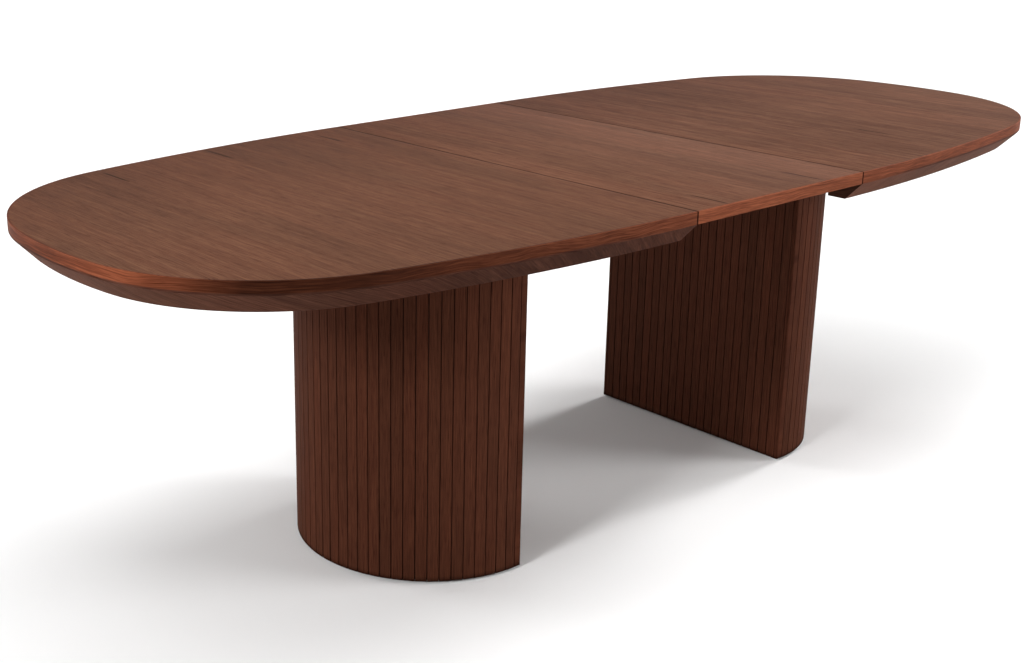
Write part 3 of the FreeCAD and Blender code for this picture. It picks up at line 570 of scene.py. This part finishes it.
MATERIALS = {
    "black_board": speckled("black_board", srgb(26, 15, 11), srgb(17, 10, 7), scale=240.0,
                            roughness=(0.6, 0.8)),
    "plywood": raw_wood("birch_plywood", PLYWOOD, axis=1),
    "felt_glide": speckled("felt", srgb(70, 66, 62), srgb(44, 41, 39), scale=900.0,
                           roughness=(0.85, 0.95), bump=0.5),
    "rail_aluminium": brushed("anodised_aluminium", srgb(182, 184, 187), srgb(158, 160, 164),
                              roughness=(0.30, 0.44)),
    "runner_nylon": speckled("black_nylon", srgb(48, 48, 50), srgb(36, 36, 38), scale=500.0,
                             roughness=(0.4, 0.55)),
    "zinc_steel": speckled("zinc_plate", srgb(168, 170, 175), srgb(136, 139, 145), scale=160.0,
                           roughness=(0.25, 0.45), metallic=1.0),
    "beech": raw_wood("beech", BEECH, axis=0),
    "bevel_veneer": bevel_veneer("walnut_bevel"),
    "left_veneer": top_veneer("walnut_left_top", LEFT_TOP),
    "right_veneer": top_veneer("walnut_right_top", RIGHT_TOP_PAINTED_LIGHT),
    "leaf_veneer": top_veneer("walnut_leaf", LEAF_TOP),
    "right_edge": edge_lipping("walnut_right_edge", 1),
    "left_edge": edge_lipping("walnut_left_edge", -1),
    "leaf_edge": edge_lipping("walnut_leaf_edge", 0, LEAF_EDGE_TONE),
    "flat_slats": flat_slat_wood("walnut_flat_slats"),
    "right_curved_slats": curved_slat_wood("walnut_right_slats", 1),
    "left_curved_slats": curved_slat_wood("walnut_left_slats", -1),
}


def dress(item, material):
    item.data.materials.clear()
    item.data.materials.append(MATERIALS[material])


def dress_cad_nodes():
    for name, item in nodes.items():
        slot = node_slot[name]
        if slot == "slat_veneer":
            slot = name if name.endswith("curved_slats") else "flat_slats"
        if slot in MATERIALS:
            dress(item, slot)


# Top pieces with eased edges

def oval_path(inset):
    """The right end's outline from the rear seam round to the front seam, drawn in by the inset."""
    side, corner, end = SIDE_RADIUS - inset, CORNER_RADIUS - inset, END_RADIUS - inset
    side_y = HALF_WIDTH - SIDE_RADIUS
    end_x = TIP_X - END_RADIUS
    gap_x = end_x - SEAM_X
    gap = math.hypot(gap_x, side_y)
    along = ((side - corner) ** 2 - (end - corner) ** 2 + gap ** 2) / (2 * gap)
    across = math.sqrt((side - corner) ** 2 - along ** 2)
    corner_x = SEAM_X + (along * gap_x - across * side_y) / gap
    corner_y = side_y + (along * -side_y - across * gap_x) / gap
    side_turn = math.atan2(corner_y - side_y, corner_x - SEAM_X)
    end_turn = math.atan2(corner_y, corner_x - end_x)
    rear = [(SEAM_X, side_y, side, math.pi / 2, side_turn),
            (corner_x, corner_y, corner, side_turn, end_turn),
            (end_x, 0, end, end_turn, 0)]
    points = []
    for x, y, radius, start, stop in rear:
        for step in range(ARC_STEPS):
            angle = start + (stop - start) * step / ARC_STEPS
            points.append((x + radius * math.cos(angle), y + radius * math.sin(angle)))
    tip = [(end_x + end, 0)]
    front = [(x, -y) for x, y in reversed(points)]
    return points + tip + front


def eased_corner(before, corner, after, ease):
    """Points of a small arc in place of one corner of a profile."""
    corner = Vector(corner)
    into = (corner - Vector(before)).normalized()
    out = (Vector(after) - corner).normalized()
    start, stop = corner - into * ease, corner + out * ease
    points = []
    for step in range(EASE_STEPS + 1):
        share = step / EASE_STEPS
        bend = start.lerp(corner, share).lerp(corner.lerp(stop, share), share)
        points.append(tuple(bend))
    return points


def eased_profile(corners):
    """A closed profile of inset and height, each corner given with how far it is eased."""
    places = [corner[:2] for corner in corners]
    points = []
    for index, (inset, height, ease) in enumerate(corners):
        if ease:
            after = places[(index + 1) % len(places)]
            points += eased_corner(places[index - 1], (inset, height), after, ease)
        else:
            points.append((inset, height))
    return points


def finish_mesh(name, mesh, material, body, replaced):
    mesh.validate()
    mesh.shade_smooth()
    mesh.set_sharp_from_angle(angle=SHARP_ANGLE)
    item = bpy.data.objects.new(name, mesh)
    bpy.context.scene.collection.objects.link(item)
    dress(item, material)
    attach(item, body)
    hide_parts(replaced)


def step_in(line, end, ease, height):
    """The point a little way along a line from one of its ends."""
    near, far = (line[0], line[1]) if end == 0 else (line[-1], line[-2])
    near, far = Vector(near), Vector(far)
    place = near + (far - near).normalized() * ease
    return (place.x, place.y, height)


def sweep(bm, path, profile, ease):
    """Sweep a profile of inset and height along a path, easing the end faces' outer edges."""
    insets, heights = zip(*profile)
    lines = [path(inset) for inset in insets]
    stations = []
    for index in range(len(lines[0])):
        stations.append([(*line[index], height) for line, height in zip(lines, heights)])
    if ease:
        deep, high = max(insets), max(heights) - ease
        drawn = [(min(max(inset, ease), deep), min(height, high)) for inset, height in profile]
        for end in (0, -1):
            face = [(*path(inset)[end], height) for inset, height in drawn]
            stations[end] = [step_in(line, end, ease, height)
                             for line, height in zip(lines, heights)]
            stations.insert(0 if end == 0 else len(stations), face)
    rings = [[bm.verts.new(point) for point in station] for station in stations]
    total = len(profile)
    for first, second in zip(rings, rings[1:]):
        for place in range(total):
            after = (place + 1) % total
            bm.faces.new((first[place], first[after], second[after], second[place]))
    bm.faces.new(list(reversed(rings[0])))
    bm.faces.new(rings[-1])


def to_mesh(name, bm, left=False):
    """The drawn piece as a mesh, turned into its mirror image for the left end."""
    bmesh.ops.recalc_face_normals(bm, faces=bm.faces)
    if left:
        bmesh.ops.scale(bm, vec=(-1, 1, 1), verts=bm.verts)
        bmesh.ops.reverse_faces(bm, faces=bm.faces)
    mesh = bpy.data.meshes.new(name)
    bm.to_mesh(mesh)
    bm.free()
    return mesh


LIPPING_PROFILE = eased_profile([(0, UNDER_Z, EDGE_EASE / 2), (0, TOP_Z, EDGE_EASE),
                                 (LIPPING, TOP_Z, 0), (LIPPING, UNDER_Z, 0)])
RIM_PROFILE = eased_profile([(BEVEL_INSET, RIM_Z, BEVEL_EASE), (0, UNDER_Z, 0),
                             (BEVEL_INSET + RIM_FLAT, UNDER_Z, 0),
                             (BEVEL_INSET + RIM_FLAT, RIM_Z, BEVEL_EASE)])


def build_rims():
    for side in ("left", "right"):
        body = f"{side}_end"
        bm = bmesh.new()
        sweep(bm, oval_path, LIPPING_PROFILE, SEAM_EASE)
        mesh = to_mesh(f"{side}_edge", bm, side == "left")
        finish_mesh(f"{side}_edge_band", mesh, f"{side}_edge", body, f"{side}_lipping")
        bm = bmesh.new()
        sweep(bm, oval_path, RIM_PROFILE, 0)
        mesh = to_mesh(f"{side}_bevel", bm, side == "left")
        finish_mesh(f"{side}_bevel_frame", mesh, "bevel_veneer", body, f"{side}_bevel_rim")


def is_upper_seam(edge):
    """Whether an edge runs straight across the table at the height of the top."""
    first, second = (vert.co for vert in edge.verts)
    return (min(first.z, second.z) > TOP_Z - SAME and abs(first.x - second.x) < SAME
            and edge.calc_length() > HALF_WIDTH)


def slab(outline):
    """A flat slab with its long upper seam edges eased."""
    bm = bmesh.new()
    face = bm.faces.new([bm.verts.new((x, y, UNDER_Z)) for x, y in outline])
    raised = bmesh.ops.extrude_face_region(bm, geom=[face])["geom"]
    verts = [part for part in raised if isinstance(part, bmesh.types.BMVert)]
    bmesh.ops.translate(bm, vec=(0, 0, TOP_Z - UNDER_Z), verts=verts)
    edges = [edge for edge in bm.edges if is_upper_seam(edge)]
    bmesh.ops.bevel(bm, geom=edges, offset=SEAM_EASE, segments=SEAM_STEPS, profile=ROUND_PROFILE,
                    affect="EDGES")
    return bm


def build_panels():
    for side in ("left", "right"):
        mesh = to_mesh(f"{side}_top", slab(oval_path(LIPPING)), side == "left")
        finish_mesh(f"{side}_top", mesh, f"{side}_veneer", f"{side}_end", f"{side}_panel")
    edge_y = HALF_WIDTH - LIPPING
    outline = [(-LEAF_X, -edge_y), (LEAF_X, -edge_y), (LEAF_X, edge_y), (-LEAF_X, edge_y)]
    mesh = to_mesh("leaf_top", slab(outline))
    finish_mesh("leaf_top", mesh, "leaf_veneer", "leaf", "leaf_panel")
    bm = bmesh.new()
    for side in (-1, 1):
        def straight(inset, side=side):
            y = side * (HALF_WIDTH - inset)
            return [(-LEAF_X, y), (0, y), (LEAF_X, y)]
        sweep(bm, straight, LIPPING_PROFILE, SEAM_EASE)
    mesh = to_mesh("leaf_edges", bm)
    finish_mesh("leaf_edge_bands", mesh, "leaf_edge", "leaf", "leaf_lippings")


# Floor, light and camera

def build_floor():
    bpy.ops.mesh.primitive_plane_add(size=FLOOR_SIZE)
    floor = bpy.context.object
    floor.name = "floor"
    shader = Shader("white_floor")
    shader.set(Base_Color=FLOOR_COLOUR, Roughness=FLOOR_ROUGHNESS,
               Specular_IOR_Level=FLOOR_SPECULAR)
    floor.data.materials.append(shader.material)


def build_world():
    """White where it is seen, straight, mirrored or through a surface, and dim as a light."""
    world = bpy.data.worlds.new("studio")
    bpy.context.scene.world = world
    world.use_nodes = True
    tree = world.node_tree
    ambient = tree.nodes["Background"]
    seen = tree.nodes.new("ShaderNodeBackground")
    for background, strength in ((ambient, AMBIENT), (seen, 1.0)):
        background.inputs["Color"].default_value = WHITE
        background.inputs["Strength"].default_value = strength
    path = tree.nodes.new("ShaderNodeLightPath")
    mix = tree.nodes.new("ShaderNodeMixShader")
    shown = path.outputs["Is Camera Ray"]
    for ray in ("Is Glossy Ray", "Is Transmission Ray"):
        either = tree.nodes.new("ShaderNodeMath")
        either.operation = "MAXIMUM"
        tree.links.new(shown, either.inputs[0])
        tree.links.new(path.outputs[ray], either.inputs[1])
        shown = either.outputs[0]
    tree.links.new(shown, mix.inputs[0])
    tree.links.new(ambient.outputs[0], mix.inputs[1])
    tree.links.new(seen.outputs[0], mix.inputs[2])
    tree.links.new(mix.outputs[0], tree.nodes["World Output"].inputs["Surface"])


def build_suns():
    for name, (azimuth, elevation, width, strength) in SUNS.items():
        light = bpy.data.lights.new(name, "SUN")
        light.energy = strength * math.pi
        light.angle = math.radians(width)
        item = bpy.data.objects.new(name, light)
        turn, rise = math.radians(azimuth), math.radians(elevation)
        toward = Vector((math.cos(turn) * math.cos(rise), math.sin(turn) * math.cos(rise),
                         math.sin(rise)))
        item.rotation_mode = "QUATERNION"
        item.rotation_quaternion = toward.to_track_quat("Z", "Y")
        bpy.context.scene.collection.objects.link(item)


def build_camera():
    camera = bpy.data.cameras.new("photo_camera")
    camera.sensor_width = SENSOR_MM
    camera.lens = FOCAL_PX / PHOTO_WIDTH * SENSOR_MM
    camera.shift_x = (PHOTO_WIDTH / 2 - CENTRE_PX[0]) / PHOTO_WIDTH
    camera.shift_y = (CENTRE_PX[1] - PHOTO_HEIGHT / 2) / PHOTO_WIDTH
    item = bpy.data.objects.new("photo_camera", camera)
    ahead = Vector((math.sin(CAMERA_YAW) * math.cos(CAMERA_PITCH),
                    math.cos(CAMERA_YAW) * math.cos(CAMERA_PITCH), -math.sin(CAMERA_PITCH)))
    right = Vector((math.cos(CAMERA_YAW), -math.sin(CAMERA_YAW), 0))
    up = right.cross(ahead)
    rolled_right = right * math.cos(CAMERA_ROLL) + up * math.sin(CAMERA_ROLL)
    rolled_up = up * math.cos(CAMERA_ROLL) - right * math.sin(CAMERA_ROLL)
    turned = Matrix((rolled_right, rolled_up, -ahead)).transposed()
    item.matrix_world = Matrix.Translation(CAMERA_AT) @ turned.to_4x4()
    bpy.context.scene.collection.objects.link(item)
    bpy.context.scene.camera = item


dress_cad_nodes()
build_rims()
build_panels()
build_floor()
build_world()
build_suns()
build_camera()
bpy.context.scene.view_settings.view_transform = "Standard"
